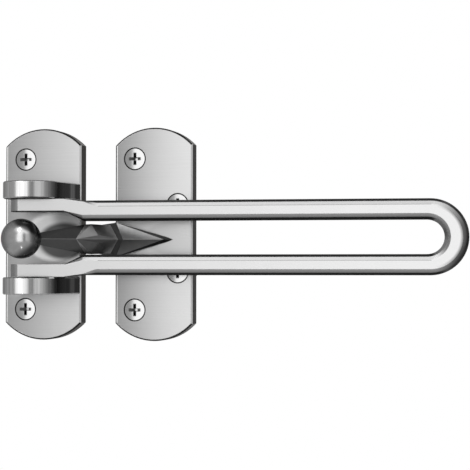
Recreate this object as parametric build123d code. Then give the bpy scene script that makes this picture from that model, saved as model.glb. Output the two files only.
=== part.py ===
"""Swing bar door guard: hinge plate, U-shaped bar on two pins, and keeper plate with a faceted horn and ball."""

import math
import os

from build123d import *

os.makedirs("parts", exist_ok=True)

# Frame: the guard as it is mounted on a closed door. +X runs along the bar, +Y goes into the door and its frame,
# +Z is up. The origin is the centre of the hinge plate's back face, and both plates' backs lie on Y = 0.

# Plates
plateHeight = 75.0
plateThickness = 5.2
archRise = 6.1
plateEdge = 0.5
hingePlateWidth = 28.6
keeperPlateWidth = 28.1
keeperPlateHeight = 74.5
keeperPlateDrop = 0.25
plateGap = 12.8

# The bar, the lugs, the horn and the inner keeper screws share a centre line a little below the plates' own.
barDrop = 1.7

# Hinge: pin axis and lugs
pinX = 1.6
pinHeight = 14.0
pinRadius = 2.0
pinRunningGap = 0.05
lugRound = 10.0
lugThickness = 5.9
lugEdge = 0.35
lugLean = 2.3
eyeSideGap = 0.2

# Swing bar
barLength = 149.2
barThick = 7.2
rodWidth = 7.05
rodFlat = 1.5
rodMid = 2.65
rodMidUp = 2.75
rodWideUp = 1.1
slotWidth = 11.5
eyeThick = 4.3
eyeFlatBehind = 4.1
eyeBehind = 7.1
eyeNoseThick = 3.2
eyeAhead = 12.4
jogEnd = 18.6
jogFade = 23.5
bendThicken = 1.05
bendShare = 1.0
pinInset = 0.2

# Horn and ball
ballRadius = 6.75
ballX = 2.4
ballReach = 31.0
hornRise = 38.0
hornDrop = 0.45
hornSideGap = 0.12
neckHalf = 1.75
baseHalf = 5.9

# Screws: countersunk wood screws of size 8
headWidth = 7.5
headRimGap = 0.1
headSink = 0.05
headLand = 0.35
seatGap = 0.02
sinkAngle = 82.0
shankRadius = 2.1
shankGap = 0.15
shankBehind = 0.2
coreRadius = 1.45
screwReach = 20.0
screwPoint = 5.0
pointSides = 8
driveSpan = 4.0
driveWidth = 1.0
driveDepth = 2.0
outerScrewIn = 10.8
innerScrewPitch = 23.4
hingeScrewIn = 7.7
keeperScrewIn = 7.15
keeperInnerIn = 22.75

# Values that follow from those above
hingeScrewX = -hingePlateWidth / 2 + hingeScrewIn
keeperLeft = hingePlateWidth / 2 + plateGap
keeperCentre = keeperLeft + keeperPlateWidth / 2
pinY = -(plateThickness + pinHeight)
outerScrewPitch = plateHeight - 2 * outerScrewIn
keeperScrewPitch = keeperPlateHeight - 2 * outerScrewIn
slotHalf = slotWidth / 2
rodCentre = slotHalf + rodWidth / 2
barHalf = slotHalf + rodWidth
eyeOuter = barHalf + 0.55
eyeInner = eyeOuter - eyeThick
lugInner = eyeOuter + eyeSideGap
lugOuter = lugInner + lugThickness
barTilt = math.degrees(math.asin((-pinY - barThick / 2) / barLength))
hornHalf = slotHalf - hornDrop - hornSideGap


def solidOf(shape):
    found = shape.solids()
    assert len(found) == 1, len(found)
    return found[0]


def facetSolid(corners, faces):
    """A closed solid from flat faces, given as lists of corner names."""
    made = []
    for names in faces:
        for k in range(1, len(names) - 1):
            made.append(
                Face(Wire.make_polygon([corners[n] for n in (names[0], names[k], names[k + 1])]))
            )
    return Solid(Shell(made))


def archedPlate(width, height, centreX, centreZ):
    half = width / 2
    shoulder = height / 2 - archRise
    with BuildPart() as p:
        with BuildSketch(Plane.XZ.offset(0)) as s:
            with BuildLine():
                Line((-half, -shoulder), (-half, shoulder))
                ThreePointArc((-half, shoulder), (0, height / 2), (half, shoulder))
                Line((half, shoulder), (half, -shoulder))
                ThreePointArc((half, -shoulder), (0, -height / 2), (-half, -shoulder))
            make_face()
        extrude(amount=plateThickness)
        front = p.faces().sort_by(Axis.Y)[0]
        chamfer(front.edges(), plateEdge)
    return Pos(centreX, 0, centreZ) * p.part


def screwSink(x, z):
    """The countersunk hole that one screw fits, through a plate."""
    rim = headWidth / 2 + headRimGap
    slope = math.tan(math.radians(sinkAngle / 2))
    hole = shankRadius + shankGap
    deep = (rim - hole) / slope
    land = headSink + headLand - (headRimGap - seatGap) / slope
    tool = Pos(0, 0, -land - deep / 2) * Cone(hole, rim, deep)
    tool += Pos(0, 0, (1 - land) / 2) * Cylinder(rim, 1 + land)
    tool += Pos(0, 0, -plateThickness) * Cylinder(hole, 2 * plateThickness)
    return Pos(x, -plateThickness, z) * Rot(90, 0, 0) * tool


def screw(x, z):
    """A countersunk wood screw with a cross recess, a shank as thick as the thread's core, and a faceted point."""
    rim = headWidth / 2
    slope = math.tan(math.radians(sinkAngle / 2))
    cone = (rim - shankRadius) / slope
    neck = plateThickness - headSink + shankBehind
    length = plateThickness - headSink + screwReach
    turned = [
        (0, 0),
        (rim, 0),
        (rim, -headLand),
        (shankRadius, -headLand - cone),
        (shankRadius, -neck),
        (coreRadius, -neck),
        (coreRadius, -length + screwPoint),
        (0, -length + screwPoint),
    ]
    with BuildPart() as p:
        with BuildSketch(Plane.XZ):
            with BuildLine():
                Polyline(*turned, close=True)
            make_face()
        revolve(axis=Axis.Z)
    corners = {"tip": Vector(0, 0, -length)}
    for k in range(pointSides):
        turn = 2 * math.pi * k / pointSides
        corners[k] = Vector(coreRadius * math.cos(turn), coreRadius * math.sin(turn), -length + screwPoint)
    faces = [[k, (k + 1) % pointSides, "tip"] for k in range(pointSides)]
    body = p.part + facetSolid(corners, faces + [list(range(pointSides))])
    with BuildPart() as w:
        with BuildSketch(Plane.XZ):
            with BuildLine():
                Polyline(
                    (-driveSpan / 2, 0.2),
                    (driveSpan / 2, 0.2),
                    (driveSpan / 2, 0),
                    (0.5, -driveDepth),
                    (-0.5, -driveDepth),
                    (-driveSpan / 2, 0),
                    close=True,
                )
            make_face()
        extrude(amount=driveWidth / 2, both=True)
    wing = w.part
    body -= wing
    body -= Rot(0, 0, 90) * wing
    return Pos(x, -plateThickness + headSink, z) * Rot(90, 0, 0) * body


# Hinge plate, one casting: arched plate with two lugs standing on it
lugRight = pinX + lugRound + lugLean
with BuildPart() as lug:
    with BuildSketch(Plane.XY):
        with BuildLine():
            lean = math.atan2(lugRight - pinX, pinHeight)
            far = math.hypot(lugRight - pinX, pinHeight)
            side = lean - math.asin(lugRound / far)
            touch = (pinX + lugRound * math.cos(side), pinY - lugRound * math.sin(side))
            Line((pinX - lugRound, -plateThickness + 1), (pinX - lugRound, pinY))
            ThreePointArc((pinX - lugRound, pinY), (pinX, pinY - lugRound), touch)
            Line(touch, (lugRight, -plateThickness))
            Line((lugRight, -plateThickness), (lugRight, -plateThickness + 1))
            Line((lugRight, -plateThickness + 1), (pinX - lugRound, -plateThickness + 1))
        make_face()
    extrude(amount=lugThickness)
    rims = [
        e
        for e in lug.edges()
        if (abs(e.center().Z) < 1e-6 or abs(e.center().Z - lugThickness) < 1e-6)
        and e.center().Y < -plateThickness - 0.01
    ]
    chamfer(rims, lugEdge)
lugShape = lug.part

hingePlate = archedPlate(hingePlateWidth, plateHeight, 0, 0)
hingePlate += Pos(0, 0, -barDrop + lugInner) * lugShape
hingePlate += Pos(0, 0, -barDrop - lugOuter) * lugShape
hingePlate -= Pos(pinX, pinY, 0) * Cylinder(pinRadius, 2 * plateHeight)
for z in (outerScrewPitch / 2, -outerScrewPitch / 2):
    hingePlate -= screwSink(hingeScrewX, z)

# Hinge pins, pressed into the lugs and running in the bar's eyes
pinLong = lugOuter - eyeInner - pinInset
pinMid = (lugOuter + eyeInner + pinInset) / 2
pinShape = Cylinder(pinRadius, pinLong)
pinUpper = Pos(pinX, pinY, -barDrop + pinMid) * pinShape
pinLower = Pos(pinX, pinY, -barDrop - pinMid) * pinShape


# Swing bar, one forging. It is drawn along +X about its pin axis, then tilted down to the door.
def section(centre, outer, inner):
    """Corners of a bevelled bar section, as (across, up) pairs. Each side gives flat, middle and widest corner."""
    up = barThick / 2
    ring = []
    for (flat, mid, wide, midUp, wideUp), way in ((outer, 1), (inner, -1)):
        side = [(flat, up), (mid, midUp), (wide, wideUp), (wide, -wideUp), (mid, -midUp), (flat, -up)]
        ring += [(centre + way * a, b) for a, b in (side if way > 0 else reversed(side))]
    return ring


rodSide = (rodFlat, rodMid, rodWidth / 2, rodMidUp, rodWideUp)
openSide = (rodWidth / 2 - 0.375, rodWidth / 2 - 0.225, rodWidth / 2, barThick / 2 - 0.3, rodWideUp)
eyeSide = (eyeThick / 2 - 0.15, eyeThick / 2 - 0.05, eyeThick / 2, 3.5, 3.3)
rodRing = section(rodCentre, rodSide, rodSide)
jogRing = section(rodCentre, openSide, rodSide)
eyeRing = section((eyeOuter + eyeInner) / 2, eyeSide, eyeSide)


def ringFace(ring, x):
    return Face(Wire.make_polygon([Vector(x, -b, a) for a, b in ring]))


bendOuterAt = barLength - barHalf
bendInnerAt = bendOuterAt - bendThicken
rod = Solid.extrude(ringFace(rodRing, jogFade), Vector(bendInnerAt - jogFade, 0, 0))
jogStops = [ringFace(eyeRing, eyeAhead), ringFace(jogRing, jogEnd), ringFace(rodRing, jogFade)]
jog = Solid.make_loft([stop.outer_wire() for stop in jogStops], True)
with BuildPart() as eye:
    with BuildSketch(Plane.XY):
        with BuildLine():
            Polyline(
                (eyeAhead, -barThick / 2),
                (-eyeFlatBehind, -barThick / 2),
                (-eyeBehind, -eyeNoseThick / 2),
                (-eyeBehind, eyeNoseThick / 2),
                (-eyeFlatBehind, barThick / 2),
                (eyeAhead, barThick / 2),
                close=True,
            )
        make_face()
    extrude(amount=eyeThick)


def cutRing(outerSide):
    """The outer or the inner share of the rod's section, cut through its flats."""
    edge = rodCentre - bendShare if outerSide else rodCentre + bendShare
    side = [(a, b) for a, b in rodRing if (a > edge) == outerSide]
    top = [p for p in side if p[1] > 0]
    low = [p for p in side if p[1] < 0]
    top.sort(reverse=not outerSide)
    low.sort(reverse=outerSide)
    return [(edge, barThick / 2)] + top + low + [(edge, -barThick / 2)]


def halfBend(ring, at):
    """The ring turned half a turn about the bend's centre, bulging towards the free end."""
    turned = Solid.revolve(ringFace(ring, at), 180, Axis((at, 0, 0), (0, 1, 0)))
    if turned.bounding_box().max.X < at + 1:
        turned = Solid.revolve(ringFace(ring, at), -180, Axis((at, 0, 0), (0, 1, 0)))
    return turned


outerRing = cutRing(True)
innerRing = cutRing(False)
link = Solid.extrude(ringFace(outerRing, bendInnerAt), Vector(bendThicken, 0, 0))
upperHalf = rod.fuse(jog).fuse(Pos(0, 0, eyeInner) * eye.part)
swingBar = Part() + halfBend(innerRing, bendInnerAt) + halfBend(outerRing, bendOuterAt)
for half in (upperHalf, link):
    swingBar = swingBar + half + mirror(half, about=Plane.XY)
swingBar -= Cylinder(pinRadius + pinRunningGap, 4 * barHalf)
swingBar = Pos(pinX, pinY, -barDrop) * Rot(0, 0, barTilt) * swingBar

# Keeper, one casting: arched plate, faceted horn and ball
ballCentre = Vector(ballX, -ballReach, 0)
along = Vector(math.cos(math.radians(hornRise)), math.sin(math.radians(hornRise)), 0)
outward = Vector(along.Y, -along.X, 0)


def onHorn(s, up, across):
    return ballCentre + along * s + outward * up + Vector(0, 0, across)


foot = -plateThickness + 0.5
corners = {
    "neckRidge": onHorn(4.6, neckHalf, 0),
    "node": onHorn(18.1, 4.0, 0),
    "ridgeEnd": onHorn(33.0, 4.4, 0),
    "crease": Vector(keeperLeft + 5.2, -plateThickness - 7.1, 0),
    "noseTop": Vector(keeperLeft + 18.3, -plateThickness - 1.9, 0),
    "toe": Vector(keeperLeft + 21.7, foot, 0),
}
for sign, tag in ((1, "Up"), (-1, "Low")):
    corners["neckSide" + tag] = onHorn(4.6, 0.2, sign * neckHalf)
    corners["neckBack" + tag] = onHorn(4.6, -1.5, sign * 1.25)
    corners["neckEnd" + tag] = onHorn(22.4, 0.5, sign * (hornHalf - 0.12))
    corners["cheek" + tag] = onHorn(24.3, 1.9, sign * hornHalf)
    corners["brow" + tag] = onHorn(26.0, 3.9, sign * 1.3)
    corners["cheekEnd" + tag] = onHorn(31.6, 0.6, sign * (hornHalf - 0.3))
    corners["back" + tag] = onHorn(24.0, -3.0, sign * 4.3)
    corners["baseSide" + tag] = Vector(keeperLeft + 1.6, -plateThickness - 3.9, sign * baseHalf)
    corners["heel" + tag] = Vector(keeperLeft, -plateThickness - 1.2, sign * baseHalf)
    corners["heelFoot" + tag] = Vector(keeperLeft, foot, sign * (baseHalf + 0.3))
faces = [
    ["neckRidge", "neckSideUp", "neckBackUp", "neckBackLow", "neckSideLow"],
    ["neckBackUp", "backUp", "backLow", "neckBackLow"],
    ["backUp", "heelUp", "heelLow", "backLow"],
    ["heelUp", "heelFootUp", "heelFootLow", "heelLow"],
    ["heelFootUp", "toe", "heelFootLow"],
]
for tag in ("Up", "Low"):
    faces += [
        ["neckRidge", "neckSide" + tag, "neckEnd" + tag],
        ["neckRidge", "neckEnd" + tag, "node"],
        ["node", "neckEnd" + tag, "cheek" + tag],
        ["node", "cheek" + tag, "brow" + tag],
        ["node", "brow" + tag, "ridgeEnd"],
        ["brow" + tag, "cheek" + tag, "cheekEnd" + tag],
        ["brow" + tag, "cheekEnd" + tag, "ridgeEnd"],
        ["ridgeEnd", "cheekEnd" + tag, "baseSide" + tag],
        ["ridgeEnd", "baseSide" + tag, "crease"],
        ["crease", "baseSide" + tag, "noseTop"],
        ["baseSide" + tag, "toe", "noseTop"],
        ["baseSide" + tag, "heelFoot" + tag, "toe"],
        ["neckSide" + tag, "neckBack" + tag, "back" + tag],
        ["neckSide" + tag, "back" + tag, "neckEnd" + tag],
        ["neckEnd" + tag, "back" + tag, "cheekEnd" + tag],
        ["neckEnd" + tag, "cheekEnd" + tag, "cheek" + tag],
        ["back" + tag, "heel" + tag, "cheekEnd" + tag],
        ["cheekEnd" + tag, "heel" + tag, "baseSide" + tag],
        ["baseSide" + tag, "heel" + tag, "heelFoot" + tag],
    ]
horn = facetSolid(corners, faces)
keeper = archedPlate(keeperPlateWidth, keeperPlateHeight, keeperCentre, -keeperPlateDrop)
keeper += Pos(0, 0, -barDrop - hornDrop) * horn
keeper += Pos(ballX, -ballReach, -barDrop - hornDrop) * Sphere(ballRadius)
outerX = keeperLeft + keeperScrewIn
innerX = keeperLeft + keeperInnerIn
keeperSpots = [
    ("keeper_screw_outer_upper", outerX, -keeperPlateDrop + keeperScrewPitch / 2),
    ("keeper_screw_outer_lower", outerX, -keeperPlateDrop - keeperScrewPitch / 2),
    ("keeper_screw_inner_upper", innerX, -barDrop + innerScrewPitch / 2),
    ("keeper_screw_inner_lower", innerX, -barDrop - innerScrewPitch / 2),
]
hingeSpots = [
    ("hinge_screw_upper", hingeScrewX, outerScrewPitch / 2),
    ("hinge_screw_lower", hingeScrewX, -outerScrewPitch / 2),
]
for name, x, z in keeperSpots:
    keeper -= screwSink(x, z)

nodes = {
    "hinge_plate": hingePlate,
    "keeper": keeper,
    "swing_bar": swingBar,
    "hinge_pin_upper": pinUpper,
    "hinge_pin_lower": pinLower,
}
for name, x, z in hingeSpots + keeperSpots:
    nodes[name] = screw(x, z)

for name, shape in nodes.items():
    one = solidOf(shape)
    export_step(one, "parts/" + name + ".step")
    box = one.bounding_box()
    print(
        name,
        "volume %.1f" % one.volume,
        "x %.2f..%.2f y %.2f..%.2f z %.2f..%.2f"
        % (box.min.X, box.max.X, box.min.Y, box.max.Y, box.min.Z, box.max.Z),
    )
print("bar tilt %.2f, eye outer %.2f, lug inner %.2f, horn half %.2f" % (barTilt, eyeOuter, lugInner, hornHalf))
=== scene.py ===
import math
from types import SimpleNamespace

import bpy
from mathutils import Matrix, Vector


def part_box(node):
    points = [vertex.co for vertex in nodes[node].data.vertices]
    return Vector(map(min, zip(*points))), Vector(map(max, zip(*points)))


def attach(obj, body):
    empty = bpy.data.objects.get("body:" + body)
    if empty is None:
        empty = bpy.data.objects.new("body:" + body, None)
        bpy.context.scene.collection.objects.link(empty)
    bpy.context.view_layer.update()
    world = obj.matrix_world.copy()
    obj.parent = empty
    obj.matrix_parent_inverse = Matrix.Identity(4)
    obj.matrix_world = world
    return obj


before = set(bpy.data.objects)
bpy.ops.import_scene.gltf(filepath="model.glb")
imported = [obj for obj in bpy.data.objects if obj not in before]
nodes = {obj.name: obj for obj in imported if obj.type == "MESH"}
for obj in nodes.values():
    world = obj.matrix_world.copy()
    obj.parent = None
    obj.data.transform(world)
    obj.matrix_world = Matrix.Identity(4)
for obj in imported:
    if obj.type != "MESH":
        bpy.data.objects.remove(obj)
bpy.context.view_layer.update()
screwNames = sorted(name for name in nodes if "screw" in name)
print("stage: frame loaded,", len(nodes), "nodes")


# A node tree, with short names for the sums that the looks are made of.
class nodeKit:
    def __init__(self, owner):
        owner.use_nodes = True
        self.tree = owner.node_tree
        self.tree.nodes.clear()

    def node(self, kind, values=None, **settings):
        node = self.tree.nodes.new(kind)
        for key, value in settings.items():
            setattr(node, key, value)
        for key, value in (values or {}).items():
            if isinstance(value, (int, float, tuple)):
                node.inputs[key].default_value = value
            else:
                self.tree.links.new(value, node.inputs[key])
        return node

    def maths(self, operation, *terms):
        return self.node("ShaderNodeMath", dict(enumerate(terms)), operation=operation).outputs[0]

    def vectorMaths(self, operation, *terms):
        node = self.node("ShaderNodeVectorMath", dict(enumerate(terms)), operation=operation)
        return node.outputs["Value" if operation in ("LENGTH", "DOT_PRODUCT") else "Vector"]

    def split(self, vector):
        node = self.node("ShaderNodeSeparateXYZ", {0: vector})
        return node.outputs["X"], node.outputs["Y"], node.outputs["Z"]

    def plus(self, a, b):
        return self.maths("ADD", a, b)

    def minus(self, a, b):
        return self.maths("SUBTRACT", a, b)

    def times(self, first, *others):
        for other in others:
            first = self.maths("MULTIPLY", first, other)
        return first

    def line(self, value, slope, offset):
        return self.maths("MULTIPLY_ADD", value, slope, offset)

    def size(self, value):
        return self.maths("ABSOLUTE", value)

    def off(self, value, centre):
        return self.size(self.minus(value, centre))

    def under(self, value, limit):
        return self.maths("LESS_THAN", value, limit)

    def over(self, value, limit):
        return self.maths("GREATER_THAN", value, limit)

    # Soft steps between two limits, up from 0 to 1 or down from 1 to 0.
    def rise(self, value, limits):
        values = {"Value": value, "From Min": limits[0], "From Max": limits[1]}
        return self.node("ShaderNodeMapRange", values, interpolation_type="SMOOTHSTEP").outputs[0]

    def fall(self, value, limits):
        return self.minus(1.0, self.rise(value, limits))

    def mix(self, share, a, b):
        return self.node("ShaderNodeMix", {0: share, 2: a, 3: b}, data_type="FLOAT").outputs[0]

    # The tone times this much where the mask is 1, and as it was where the mask is 0.
    def shaded(self, tone, mask, amount):
        return self.times(tone, self.mix(mask, 1.0, amount))

    def noise(self, place, scale, detail, roughness):
        values = {"Vector": place, "Scale": scale, "Detail": detail, "Roughness": roughness}
        return self.node("ShaderNodeTexNoise", values).outputs["Fac"]

    # Noise drawn out by its own scale along each axis, as brush lines are.
    def brushLines(self, place, scale, detail, roughness):
        stretched = self.node("ShaderNodeMapping", {"Vector": place, "Scale": scale})
        return self.noise(stretched.outputs[0], 1.0, detail, roughness)

    def finish(self, kind, shader):
        self.tree.links.new(shader.outputs[0], self.node(kind).inputs["Surface"])


def grey(value):
    return (value, value, value, 1.0)


# What all the metals share.
metalLook = {
    "frontLimit": 0.3,  # what faces further back than this gets no paint for the front
    "lineDetail": 4.0,
    "markDetail": 3.0,
    "lineBreak": 0.6,  # how broken up the brush lines are
    "polishedLines": 0.02,
    "hazeScale": 90.0,
    "hazeDetail": 3.0,
    "hazeBreak": 0.5,
    "haze": 0.06,
    "bumpDepth": 0.00004,
}


# The painting steps below change the tone, roughness, lean and warmth of at, which also holds the
# point's place x, y, z and the way nx, ny, nz that it faces. Polished is 1 in front of polishedFrom.
def bareMetal(kit, look):
    coordinates = kit.node("ShaderNodeTexCoord").outputs
    at = SimpleNamespace(place=coordinates["Object"], facing=coordinates["Normal"])
    at.x, at.y, at.z = kit.split(at.place)
    at.nx, at.ny, at.nz = kit.split(at.facing)
    at.polished = 0.0
    if "polishedFrom" in look:
        at.polished = kit.under(at.y, look["polishedFrom"])
    at.satin = kit.minus(1.0, at.polished)
    at.tone = kit.mix(at.polished, look["satinTone"], look.get("polishedTone", 0.0))
    at.rough = kit.mix(at.polished, look["satinRough"], look.get("polishedRough", 0.0))
    at.front = kit.under(at.ny, metalLook["frontLimit"])
    at.lean = at.warmth = at.rubbed = 0.0
    return at


# The horn: its facets are told apart by the way they face, and each gets painted light and shade by that
# way. The base, near the plate, is less dark than the arm, the facets in the crease get painted shade, and
# a thin painted highlight runs along the ridge.
def paintHorn(kit, at, look):
    slope, offset = look["baseFrom"]
    beyond = kit.plus(kit.plus(at.x, kit.times(at.y, slope)), offset)
    base = kit.times(kit.over(beyond, 0.0), at.polished)
    front = kit.mix(kit.rise(kit.size(at.nz), look["tallFade"]), look["ridgeTone"], look["frontTone"])
    front = kit.times(front, kit.line(at.nz, look["frontLift"], 1.0))
    front = kit.mix(kit.rise(at.ny, look["cheekFade"]), front, look["cheekTone"])
    side = kit.line(at.nz, -look["neckTone"] * look["neckLift"], look["neckTone"])
    side = kit.mix(kit.fall(at.nx, look["flankFade"]), side, look["flankTone"])
    arm = kit.mix(kit.rise(at.nx, look["turnedFade"]), side, front)
    at.tone = kit.mix(at.polished, at.tone, arm)
    at.tone = kit.mix(base, at.tone, kit.times(kit.line(at.nz, look["baseLift"], 1.0), look["baseTone"]))
    at.rough = kit.mix(base, at.rough, look["baseRough"])

    # Painted shade in the crease, then a painted highlight along the ridge.
    crease = kit.times(kit.rise(at.ny, look["creaseFade"]), at.polished)
    amount = kit.mix(base, look["creaseShadeShare"], look["bevelShare"])
    amount = kit.shaded(amount, kit.under(at.nz, 0.0), look["lowerShare"])
    at.tone = kit.shaded(at.tone, crease, amount)
    ridge = kit.times(kit.under(kit.off(at.z, look["ridgeAt"]), look["ridgeHalf"]), at.polished)
    at.tone = kit.shaded(at.tone, ridge, look["ridgeHighlightShare"])


# Soft dark patches painted on a plate's front: a painted reflection of the horn's foot, and on the hinge
# plate also painted shade beside the bar's jog. Some also turn the shine.
def paintShadePatches(kit, at, shadePatches):
    for patch in shadePatches:
        away = kit.vectorMaths("SUBTRACT", at.place, patch["centre"])
        reach = kit.vectorMaths("LENGTH", kit.vectorMaths("DIVIDE", away, patch["half"]))
        within = kit.times(kit.fall(reach, patch["fade"]), at.satin, at.front)
        at.tone = kit.shaded(at.tone, within, patch["share"])
        at.lean = kit.plus(at.lean, kit.times(within, patch["lean"]))


# Dark rings of painted shade: in the gap round a screw head, on the plate's front only, and at the head's
# own rim.
def paintShadeRings(kit, at, shadeRings):
    for ring in shadeRings:
        x, z = ring["middle"]
        away = kit.vectorMaths("SUBTRACT", at.place, (x, 0.0, z))
        reach = kit.vectorMaths("LENGTH", kit.vectorMaths("MULTIPLY", away, (1.0, 0.0, 1.0)))
        if ring["outside"]:
            inside = kit.over(reach, ring["radius"])
        else:
            inside = kit.times(kit.under(reach, ring["radius"]), at.front)
        at.tone = kit.mix(inside, at.tone, ring["tone"])
        at.rough = kit.mix(inside, at.rough, ring["rough"])


# The ball: painted light to the front, and painted shade at its rim and towards its top and bottom.
def paintBall(kit, at, look):
    away = kit.vectorMaths("SUBTRACT", at.place, look["centre"])
    inside = kit.under(kit.vectorMaths("LENGTH", away), look["radius"])
    ahead = kit.vectorMaths("DOT_PRODUCT", at.facing, look["front"])
    tone = kit.mix(kit.rise(ahead, look["rimFade"]), look["rimTone"], look["tone"])
    tilt = kit.plus(kit.size(at.nz), kit.line(at.nx, *look["rightward"]))
    above = kit.mix(kit.rise(tilt, look["topFade"]), 1.0, look["topShare"])
    below = kit.mix(kit.rise(tilt, look["lowFade"]), 1.0, look["lowShare"])
    tone = kit.times(tone, kit.mix(kit.over(at.nz, 0.0), below, above))
    at.tone = kit.mix(inside, at.tone, tone)
    at.rough = kit.mix(inside, at.rough, look["rough"])
    lean = kit.maths("MAXIMUM", kit.minus(at.nx, look["leanFrom"]), 0.0)
    lean = kit.line(lean, look["leanGain"], look["lean"])
    at.lean = kit.plus(at.lean, kit.times(inside, lean))


# Plate edges: the bevel gets a painted highlight on the right and a dark outline of painted shade on the
# other sides. A bright margin of painted highlight runs down the left, and the walls get painted shade, a
# little warm. The lugs' upper and lower faces get painted shade too.
def paintEdges(kit, at, look):
    bevel = kit.times(kit.rise(at.ny, look["bevelFade"]), kit.under(at.ny, look["bevelEnd"]), at.satin)
    at.rubbed = kit.times(bevel, kit.over(at.nx, look["sideways"]))
    outer = kit.maths("MAXIMUM", kit.over(at.y, look["bevelMiddle"]), kit.under(at.nx, -look["sideways"]))
    outer = kit.times(outer, kit.minus(bevel, at.rubbed))
    at.tone = kit.mix(at.rubbed, at.tone, look["rubbedTone"])
    at.tone = kit.mix(outer, at.tone, look["outlineTone"])

    margin = kit.under(at.x, look["leftEdge"] + look["marginWide"])
    margin = kit.times(margin, kit.under(at.ny, look["flatFrom"]), at.satin)
    at.tone = kit.mix(margin, at.tone, look["rubbedTone"])
    at.lean = kit.plus(at.lean, kit.times(margin, look["marginLean"]))

    wall = kit.times(kit.under(kit.size(at.ny), look["wallFrom"]), at.satin)
    at.tone = kit.mix(wall, at.tone, look["wallTone"])
    at.warmth = kit.times(wall, look["wallWarmth"])
    level = kit.times(kit.over(kit.size(at.nz), look["levelFrom"]), at.polished)
    at.tone = kit.mix(level, at.tone, look["levelTone"])
    at.rough = kit.mix(level, at.rough, look["levelRough"])


# The lugs' right sides get painted shade, with one stripe where it is lighter. The lower lug's painted
# shade is darker.
def paintLugSides(kit, at, look):
    rightSide = kit.times(kit.rise(at.nx, look["from"]), at.polished)
    stripe = kit.rise(kit.off(at.y, look["stripeAt"]), look["stripeFade"])
    amount = kit.mix(stripe, look["stripeShare"], look["share"])
    amount = kit.shaded(amount, kit.under(at.z, 0.0), look["lowerShare"])
    at.tone = kit.shaded(at.tone, rightSide, amount)


# Steep sides: painted shade, and a higher roughness.
def paintSteep(kit, at, look):
    steep = kit.rise(kit.size(at.nz), look["from"])
    at.tone = kit.mix(steep, at.tone, look["tone"])
    at.rough = kit.mix(steep, at.rough, look["rough"])


# The bar's back half: painted shade where it faces down, and where it faces the bar's far end.
# Its front leans, so the depth is measured from a line along the bar.
def paintBack(kit, at, look):
    depth = kit.plus(at.y, kit.line(at.x, *look["frontLine"]))
    sunk = kit.rise(depth, look["depth"])
    down = kit.times(kit.fall(at.nz, look["downFade"]), sunk)
    at.tone = kit.shaded(at.tone, down, look["downShare"])
    right = kit.times(kit.rise(at.nx, look["rightFade"]), sunk)
    at.tone = kit.shaded(at.tone, right, look["rightShare"])


# The outer bevel round the bar's far end gets painted shade.
def paintEndBevel(kit, at, look):
    x, z = kit.minus(at.x, look["middle"][0]), kit.minus(at.z, look["middle"][1])
    reach = kit.maths("SQRT", kit.plus(kit.times(x, x), kit.times(z, z)))
    ahead = kit.rise(kit.maths("DIVIDE", x, reach), look["ahead"])
    rim = kit.times(ahead, kit.rise(reach, look["reach"]))
    at.tone = kit.shaded(at.tone, rim, look["share"])


# Thin level lines of painted shade along the bar, each (height, half its width, (from, to), share of the
# tone).
def paintLines(kit, at, lines):
    for height, half, (start, end), share in lines:
        line = kit.under(kit.off(at.z, height), half)
        line = kit.times(line, kit.under(at.x, end), kit.over(at.x, start))
        at.tone = kit.shaded(at.tone, line, share)


# A screw's cross: painted shade in its depth and on its arms, which are lighter on the right and painted
# bright in the middle.
def paintCross(kit, at, look):
    at.tone = kit.mix(kit.rise(at.y, look["depth"]), at.tone, look["deepTone"])
    middleX, middleZ = look["middle"]
    aside, upward = kit.off(at.x, middleX), kit.off(at.z, middleZ)
    small, large = kit.maths("MINIMUM", aside, upward), kit.maths("MAXIMUM", aside, upward)
    cross = kit.times(kit.fall(small, look["armHalf"]), kit.fall(large, look["armReach"]))
    rightArm = kit.rise(kit.minus(at.x, middleX), look["rightArmFade"])
    arm = kit.mix(rightArm, look["armTone"], look["rightArmTone"])
    arm = kit.mix(kit.fall(large, look["middleFade"]), arm, look["middleTone"])
    at.tone = kit.mix(cross, at.tone, arm)


# Marks in the polish, fine brush lines in tone and roughness, and a slow haze.
def brushMetal(kit, at, look):
    detail, markDetail, broken = metalLook["lineDetail"], metalLook["markDetail"], metalLook["lineBreak"]
    if "polishBrush" in look:
        marks = kit.minus(kit.brushLines(at.place, look["polishBrush"], markDetail, broken), 0.5)
        at.tone = kit.times(at.tone, kit.plus(kit.times(marks, look["polishLines"], at.polished), 1.0))
    at.lines = kit.brushLines(at.place, look["brush"], detail, broken)
    level = kit.minus(at.lines, 0.5)
    lineTone = kit.mix(at.polished, look["lineTone"], metalLook["polishedLines"])
    lineRough = kit.mix(at.polished, look["lineRough"], metalLook["polishedLines"])
    at.tone = kit.times(at.tone, kit.line(level, lineTone, 1.0))
    at.rough = kit.plus(at.rough, kit.times(level, lineRough))
    haze = kit.noise(at.place, metalLook["hazeScale"], metalLook["hazeDetail"], metalLook["hazeBreak"])
    at.rough = kit.plus(at.rough, kit.times(kit.minus(haze, 0.5), metalLook["haze"]))


# Softened edges, and a slight crown and lean of the flat fronts.
def shineNormal(kit, at, look):
    normal = kit.node("ShaderNodeBevel", {"Radius": look["edge"]}, samples=4).outputs[0]
    if "crown" in look:
        crown = kit.times(kit.minus(at.x, look["crownX"]), look["crown"])
        crown = kit.times(kit.plus(crown, look["lean"]), at.satin)
        turned = kit.node("ShaderNodeCombineXYZ", {"X": kit.plus(crown, at.lean)})
        if "edges" in look:
            forward = kit.times(at.rubbed, -look["edges"]["rubbedRound"])
            kit.tree.links.new(forward, turned.inputs["Y"])
        normal = kit.vectorMaths("ADD", normal, turned.outputs[0])
        normal = kit.vectorMaths("NORMALIZE", normal)
    values = {
        "Strength": look["bump"],
        "Distance": metalLook["bumpDepth"],
        "Height": at.lines,
        "Normal": normal,
    }
    return kit.node("ShaderNodeBump", values).outputs[0]


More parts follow.
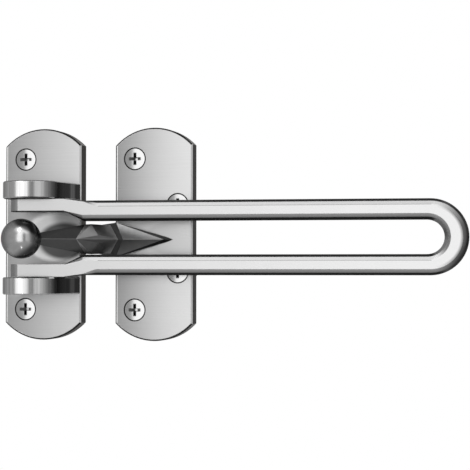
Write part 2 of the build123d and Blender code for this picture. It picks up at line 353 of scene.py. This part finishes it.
paintSteps = {
    "horn": paintHorn,
    "shadePatches": paintShadePatches,
    "shadeRings": paintShadeRings,
    "ball": paintBall,
    "edges": paintEdges,
    "lugSides": paintLugSides,
    "steep": paintSteep,
    "back": paintBack,
    "endBevel": paintEndBevel,
    "thinLines": paintLines,
    "cross": paintCross,
}


# Satin metal with fine brush lines, and with painted light and shade from the steps that its look names.
def metalMaterial(name, look):
    material = bpy.data.materials.new(name)
    kit = nodeKit(material)
    at = bareMetal(kit, look)
    for step, paint in paintSteps.items():
        if step in look:
            paint(kit, at, look[step])
    brushMetal(kit, at, look)
    colour = {}
    for slot, way in (("Red", 1.0), ("Green", 0.0), ("Blue", -1.0)):
        colour[slot] = kit.times(at.tone, kit.line(at.warmth, way, 1.0))
    values = {
        "Base Color": kit.node("ShaderNodeCombineColor", colour).outputs[0],
        "Metallic": 1.0,
        "Roughness": at.rough,
        "Normal": shineNormal(kit, at, look),
    }
    kit.finish("ShaderNodeOutputMaterial", kit.node("ShaderNodeBsdfPrincipled", values))
    return material


def dress(name, material):
    nodes[name].data.materials.clear()
    nodes[name].data.materials.append(material)


def screwMiddle(name):
    low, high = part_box(name)
    return (low.x + high.x) / 2, (low.z + high.z) / 2


def screwGaps(word, gap):
    return [dict(gap, middle=screwMiddle(name)) for name in screwNames if word in name]


# What both plates share: satin fronts with level brush lines, bevelled edges with painted highlights, and
# walls with painted shade.
# Painted shade in the gap round each screw head.
gapShadeLook = {"radius": 0.00402, "tone": 0.04, "rough": 0.5, "outside": False}
# Painted highlights, outlines and shade on the plates' edges and walls.
edgeLook = {
    "bevelFade": (-0.95, -0.85),
    "bevelEnd": -0.4,
    "bevelMiddle": -0.0054,
    "sideways": 0.6,
    "rubbedTone": 0.95,
    "rubbedRound": 0.6,
    "outlineTone": 0.05,
    "flatFrom": -0.95,
    "marginWide": 0.00085,
    "marginLean": -0.14,
    "wallFrom": 0.5,
    "wallWarmth": 0.08,
    "levelFrom": 0.9,
    "levelTone": 0.08,
    "levelRough": 0.5,
}
plateLook = {
    "satinRough": 0.3,
    "lineTone": 0.14,
    "lineRough": 0.1,
    "brush": (40.0, 900.0, 2600.0),
    "bump": 0.12,
    "edge": 0.0003,
}

# Hinge plate: satin plate, polished lugs.
hingeLook = {
    **plateLook,
    "satinTone": 0.71,
    "polishedTone": 0.88,
    "polishedRough": 0.17,
    "polishedFrom": -0.0056,
    "polishBrush": (900.0, 900.0, 12.0),
    "polishLines": 1.1,
    "crown": -6.6,
    "crownX": 0.0,
    "lean": 0.215,
    "edges": {**edgeLook, "leftEdge": -0.0143, "wallTone": 0.11},
    # Painted shade on the lugs' right sides.
    "lugSides": {
        "from": (0.74, 1.0),
        "stripeAt": -0.0105,
        "stripeFade": (0.0008, 0.0024),
        "stripeShare": 0.45,
        "share": 0.13,
        "lowerShare": 0.55,
    },
    "shadeRings": screwGaps("hinge", gapShadeLook),
    # Painted reflection of the horn's foot and painted shade beside the bar's jog.
    "shadePatches": [
        {
            "centre": (0.005, 0.0, -0.0009),
            "half": (0.0128, 1.0, 0.0098),
            "fade": (0.7, 1.0),
            "share": 0.78,
            "lean": -0.33,
        },
        {
            "centre": (0.0079, 0.0, -0.0024),
            "half": (0.0092, 1.0, 0.00625),
            "fade": (0.88, 1.18),
            "share": 0.16,
            "lean": 0.0,
        },
        {
            "centre": (0.0109, 0.0, 0.0055),
            "half": (0.0076, 1.0, 0.0043),
            "fade": (0.5, 1.2),
            "share": 0.55,
            "lean": 0.0,
        },
    ],
}
dress("hinge_plate", metalMaterial("satinHingePlate", hingeLook))
print("stage: hinge plate dressed")

# Keeper: satin plate, darker polished horn, brighter ball, both with painted light and shade.
# Tones of painted light and shade for the horn's facets, by the way each faces.
hornLook = {
    "frontTone": 0.27,
    "frontLift": 0.45,
    "ridgeTone": 0.16,
    "ridgeAt": -0.00215,
    "ridgeHalf": 0.00013,
    "ridgeHighlightShare": 1.9,
    "tallFade": (0.26, 0.4),
    "cheekTone": 0.48,
    "cheekFade": (-0.66, -0.6),
    "neckTone": 0.132,
    "neckLift": 0.6,
    "turnedFade": (0.38, 0.5),
    "flankTone": 0.5,
    "flankFade": (0.05, 0.25),
    "baseFrom": (1.125, -0.01846),
    "baseTone": 0.557,
    "baseLift": 0.82,
    "baseRough": 0.42,
    "creaseFade": (-0.54, -0.5),
    "creaseShadeShare": 0.16,
    "bevelShare": 0.085,
    "lowerShare": 1.5,
}
# Painted light and shade on the ball.
ballLook = {
    "ballRadius": 0.00675,
    "height": -0.00215,
    "radius": 0.0068,  # what lies within this of the ball's centre is painted
    "tone": 0.8,
    "rough": 0.24,
    "lean": -0.38,
    "leanFrom": 0.2,
    "leanGain": 0.55,
    "rightward": (0.6, -0.18),
    "topFade": (0.43, 0.64),
    "topShare": 0.15,
    "lowFade": (0.42, 0.8),
    "lowShare": 0.25,
    "rimTone": 0.32,
    "rimFade": (0.36, 0.64),
    "front": (-0.1, -0.99, 0.0),
}
keeperLow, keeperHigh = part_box("keeper")
inset = ballLook["ballRadius"]
ballCentre = (keeperLow.x + inset, keeperLow.y + inset, ballLook["height"])
keeperLook = {
    **plateLook,
    "satinTone": 0.73,
    "polishedRough": 0.4,
    "polishedFrom": -0.0053,
    "polishBrush": (500.0, 500.0, 500.0),
    "polishLines": 0.3,
    "crown": -9.5,
    "crownX": 0.04115,
    "lean": 0.145,
    "edges": {**edgeLook, "leftEdge": 0.0271, "wallTone": 0.075},
    "horn": hornLook,
    "ball": {**ballLook, "centre": ballCentre},
    "shadeRings": screwGaps("keeper", gapShadeLook),
    # Painted reflection of the horn's foot.
    "shadePatches": [
        {
            "centre": (0.0493, 0.0, -0.0017),
            "half": (0.012, 1.0, 0.0062),
            "fade": (0.85, 1.1),
            "share": 0.82,
            "lean": 0.0,
        },
    ],
}
dress("keeper", metalMaterial("satinKeeper", keeperLook))
print("stage: keeper dressed")

# Swing bar: brighter satin, brushed along its length, with painted shade on its steep sides, underside, far
# end and in thin lines.
barLook = {
    "satinTone": 0.8,
    "satinRough": 0.24,
    "lineTone": 0.06,
    "lineRough": 0.08,
    "brush": (40.0, 1800.0, 2600.0),
    "bump": 0.08,
    "edge": 0.0002,
    "crown": -1.9,
    "crownX": 0.0,
    "lean": 0.1,
    "steep": {"from": (0.78, 0.86), "tone": 0.08, "rough": 0.55},
    "back": {
        "frontLine": (-0.1051, 0.02299),
        "depth": (0.00005, 0.0013),
        "downFade": (-0.2, 0.3),
        "downShare": 0.4,
        "rightFade": (0.35, 0.6),
        "rightShare": 0.5,
    },
    "endBevel": {
        "middle": (0.1376, -0.0017),
        "reach": (0.0096, 0.0107),
        "ahead": (0.1, 0.85),
        "share": 0.35,
    },
    "thinLines": [
        (0.0075, 0.00015, (-0.0056, 0.0142), 0.12),
        (0.00902, 0.00012, (0.026, 0.138), 0.62),
        (-0.00953, 0.00012, (0.026, 0.138), 0.62),
    ],
}
dress("swing_bar", metalMaterial("satinBar", barLook))
print("stage: bar dressed")

# Pins: plain ground steel.
pinLook = {
    "satinTone": 0.6,
    "satinRough": 0.3,
    "lineTone": 0.06,
    "lineRough": 0.08,
    "brush": (900.0, 900.0, 900.0),
    "bump": 0.08,
    "edge": 0.0002,
}
pinSteel = metalMaterial("pinSteel", pinLook)
for name in ("hinge_pin_upper", "hinge_pin_lower"):
    dress(name, pinSteel)
print("stage: pins dressed")

# Screws: each head is slightly domed, with painted shade at its rim and in its cross.
rimShadeLook = {"radius": 0.00358, "tone": 0.06, "rough": 0.4, "outside": True}
crossLook = {
    "depth": (-0.005, -0.0046),
    "deepTone": 0.2,
    "armTone": 0.15,
    "armHalf": (0.00042, 0.00066),
    "armReach": (0.0020, 0.0024),
    "rightArmTone": 0.35,
    "rightArmFade": (0.0003, 0.0009),
    "middleTone": 0.9,
    "middleFade": (0.0002, 0.0006),
}
screwLook = {
    "satinTone": 0.85,
    "satinRough": 0.2,
    "lineTone": 0.06,
    "lineRough": 0.06,
    "brush": (1500.0, 1500.0, 1500.0),
    "bump": 0.06,
    "edge": 0.00015,
    "crown": 70.0,
    "lean": -0.2,
}
for name in screwNames:
    middle = screwMiddle(name)
    look = {
        **screwLook,
        "crownX": middle[0],
        "shadeRings": [{**rimShadeLook, "middle": middle}],
        "cross": {**crossLook, "middle": middle},
    }
    dress(name, metalMaterial("plated_" + name, look))
print("stage: screws dressed")

# Threads: a tapering helical ridge on each screw, behind the plates. Lengths along the screw are
# measured from the plates' backs.
threadLook = {
    "starts": 0.0006,
    "turns": 7,
    "pitch": 0.0027,
    "core": 0.00145,
    "sunk": 0.0002,
    "ridge": 0.00205,
    "foot": 0.0009,
    "crest": 0.00016,
    "runIn": 0.5,  # turns over which the ridge grows
    "runOut": 1.5,  # turns over which it ends
    "pointStarts": 0.015,
    "pointEnds": 0.0201,
    "pointRidge": 0.35,  # share of the ridge's height that is left at the point
    "thinnest": 0.0001,
    "steps": 28,
    "smoothAngle": 40,
}


def deselectAll():
    bpy.ops.object.select_all(action="DESELECT")


def threadPiece(name, x, z, look):
    deselectAll()
    bpy.ops.mesh.primitive_circle_add(vertices=4, fill_type="NOTHING", location=(0, 0, 0))
    piece = bpy.context.object
    piece.name = name
    inner = look["core"] - look["sunk"]
    outline = [
        (inner, -look["foot"] / 2),
        (look["ridge"], -look["crest"] / 2),
        (look["ridge"], look["crest"] / 2),
        (inner, look["foot"] / 2),
    ]
    for vertex, (radius, along) in zip(piece.data.vertices, outline):
        vertex.co = (radius, 0, along)
    helix = piece.modifiers.new("helix", "SCREW")
    helix.angle = 2 * math.pi
    helix.screw_offset = look["pitch"]
    helix.iterations = look["turns"]
    helix.steps = helix.render_steps = look["steps"]
    helix.use_normal_calculate = True
    bpy.ops.object.modifier_apply(modifier="helix")
    bpy.ops.object.mode_set(mode="EDIT")
    bpy.ops.mesh.select_all(action="SELECT")
    bpy.ops.mesh.fill_holes(sides=4)
    bpy.ops.mesh.normals_make_consistent(inside=False)
    bpy.ops.object.mode_set(mode="OBJECT")

    # Turn the helix to lie along the screw, fade its ridge at both ends and draw it in at the point.
    long = look["turns"] * look["pitch"]
    pointLong = look["pointEnds"] - look["pointStarts"]
    for vertex in piece.data.vertices:
        across, up, along = vertex.co
        radius = math.hypot(across, up)
        depth = look["starts"] + along
        begun = max(0.0, along / look["pitch"] / look["runIn"])
        left = max(0.0, (long - along) / look["pitch"] / look["runOut"])
        ending = min(1.0, begun, left) if radius > look["core"] else 1.0
        slim = min(1.0, max(0.0, (look["pointEnds"] - depth) / pointLong))
        height = (radius - look["core"]) * ending
        height *= look["pointRidge"] + (1 - look["pointRidge"]) * slim
        share = max(look["thinnest"], look["core"] * slim + height) / radius
        vertex.co = (x + across * share, depth, z - up * share)
    deselectAll()
    piece.select_set(True)
    bpy.ops.object.shade_smooth_by_angle(angle=math.radians(look["smoothAngle"]))
    return piece


threadFinish = {**pinLook, "satinTone": 0.55, "satinRough": 0.28, "edge": 0.00005}
threadSteel = metalMaterial("threadSteel", threadFinish)
for name in screwNames:
    x, z = screwMiddle(name)
    thread = threadPiece("thread_" + name, x, z, threadLook)
    thread.data.materials.append(threadSteel)
    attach(thread, "fixed_parts")
print("stage: threads made")

# Floor: plain and pale, white where the camera sees it and a little white in a mirror.
floorLook = {"height": -0.6, "half": 1.8, "tone": 0.5, "mirrorShare": 0.1}
deselectAll()
bpy.ops.mesh.primitive_plane_add(size=2 * floorLook["half"], location=(0, 0, 0))
floor = bpy.context.object
floor.name = "floor"
floor.location = (0, 0, floorLook["height"])
paleFloor = bpy.data.materials.new("paleFloor")
kit = nodeKit(paleFloor)
path = kit.node("ShaderNodeLightPath").outputs
mirrored = kit.times(path["Is Glossy Ray"], floorLook["mirrorShare"])
seen = kit.maths("MAXIMUM", path["Is Camera Ray"], path["Is Transmission Ray"])
matte = kit.node("ShaderNodeBsdfDiffuse", {"Color": grey(floorLook["tone"])})
white = kit.node("ShaderNodeEmission", {"Color": grey(1.0), "Strength": 1.0})
share = kit.maths("MAXIMUM", seen, mirrored)
both = kit.node("ShaderNodeMixShader", {0: share, 1: matte.outputs[0], 2: white.outputs[0]})
kit.finish("ShaderNodeOutputMaterial", both)
floor.data.materials.append(paleFloor)

# World: white where the camera sees it, and a soft studio all round for what the metal reflects.
# Each stop of the walls is (degrees to the right of the viewer's side, brightness); 180 is straight behind.
studioLook = {
    "walls": [
        (-180, 1.0), (-178, 1.0), (-173, 0.2), (-112, 0.2), (-98, 0.28), (-50, 0.32), (-42, 1.1),
        (-9, 1.15), (2, 0.8), (11, 0.26), (26, 0.22), (35, 0.6), (62, 0.42), (78, 0.2), (150, 0.2),
        (174, 0.2), (179, 1.0), (180, 1.0),
    ],
    "topFront": 1.0,
    "topBack": 0.14,
    "topStarts": (0.09, 0.21),
    "topRises": (0.42, 0.72),
}
world = bpy.data.worlds.new("studio")
bpy.context.scene.world = world
kit = nodeKit(world)
right, back, upward = kit.split(kit.node("ShaderNodeTexCoord").outputs["Generated"])
ahead = kit.times(back, -1.0)
bearing = kit.maths("ARCTAN2", right, ahead)
ramp = kit.node("ShaderNodeValToRGB", {0: kit.line(bearing, 1 / (2 * math.pi), 0.5)})
ramp.color_ramp.interpolation = "LINEAR"
stops = ramp.color_ramp.elements
while len(stops) < len(studioLook["walls"]):
    stops.new(0.5)
for stop, (angle, bright) in zip(stops, studioLook["walls"]):
    stop.position = (angle + 180) / 360
for stop, (angle, bright) in zip(stops, studioLook["walls"]):
    stop.color = grey(bright)
topLight = kit.mix(kit.rise(ahead, studioLook["topStarts"]), studioLook["topBack"], studioLook["topFront"])
topShare = kit.rise(upward, studioLook["topRises"])
allRound = kit.node("ShaderNodeMix", {0: topShare, 6: ramp.outputs[0], 7: topLight}, data_type="RGBA")
walls = kit.node("ShaderNodeBackground", {"Color": allRound.outputs[2], "Strength": 1.0})
white = kit.node("ShaderNodeBackground", {"Color": grey(1.0), "Strength": 1.0})
path = kit.node("ShaderNodeLightPath").outputs
seen = kit.maths("MAXIMUM", path["Is Camera Ray"], path["Is Transmission Ray"])
both = kit.node("ShaderNodeMixShader", {0: seen, 1: walls.outputs[0], 2: white.outputs[0]})
kit.finish("ShaderNodeOutputWorld", both)
print("stage: floor and studio made")


# A lamp or camera at its place, pointing along the given direction.
def setUp(name, data, spot, direction):
    holder = bpy.data.objects.new(name, data)
    bpy.context.scene.collection.objects.link(holder)
    holder.location = spot
    holder.rotation_mode = "QUATERNION"
    holder.rotation_quaternion = direction.to_track_quat("-Z", "Y")
    return holder


# Lamps: a small low one, which the ball mirrors, and a soft one high up on the left.
lampLook = {
    "lowSpot": {
        "spot": (-0.079, -0.224, -0.288),
        "aim": (0.0024, -0.031, -0.002),
        "size": 0.02,
        "watts": 0.02,
    },
    "highSpot": {
        "spot": (-0.573, -0.614, 0.88),
        "aim": (0.0, 0.0, 0.0),
        "size": 0.4,
        "watts": 1.2,
    },
}
for name, look in lampLook.items():
    lamp = bpy.data.lights.new(name, "AREA")
    lamp.shape = "RECTANGLE"
    lamp.size = lamp.size_y = look["size"]
    lamp.energy = look["watts"]
    setUp(name, lamp, look["spot"], Vector(look["aim"]) - Vector(look["spot"]))

# Camera: to the right of the plates' normal and slightly below, as in the photo.
cameraLook = {
    "spot": (0.18678, -0.47191, -0.01247),
    "turn": 14.0,
    "up": 1.4,
    "sensor": 36.0,
    "focal": 1400.0 / 470.0 * 36.0,  # 1400 pixels of the photo's 470
    "near": 0.01,
    "far": 20.0,
}
camera = bpy.data.cameras.new("camera")
camera.sensor_width = cameraLook["sensor"]
camera.lens = cameraLook["focal"]
camera.clip_start = cameraLook["near"]
camera.clip_end = cameraLook["far"]
turn, up = math.radians(cameraLook["turn"]), math.radians(cameraLook["up"])
direction = Vector((-math.sin(turn) * math.cos(up), math.cos(turn) * math.cos(up), math.sin(up)))
bpy.context.scene.camera = setUp("camera", camera, cameraLook["spot"], direction)
bpy.context.scene.view_settings.view_transform = "Standard"
print("stage: lamps and camera made")
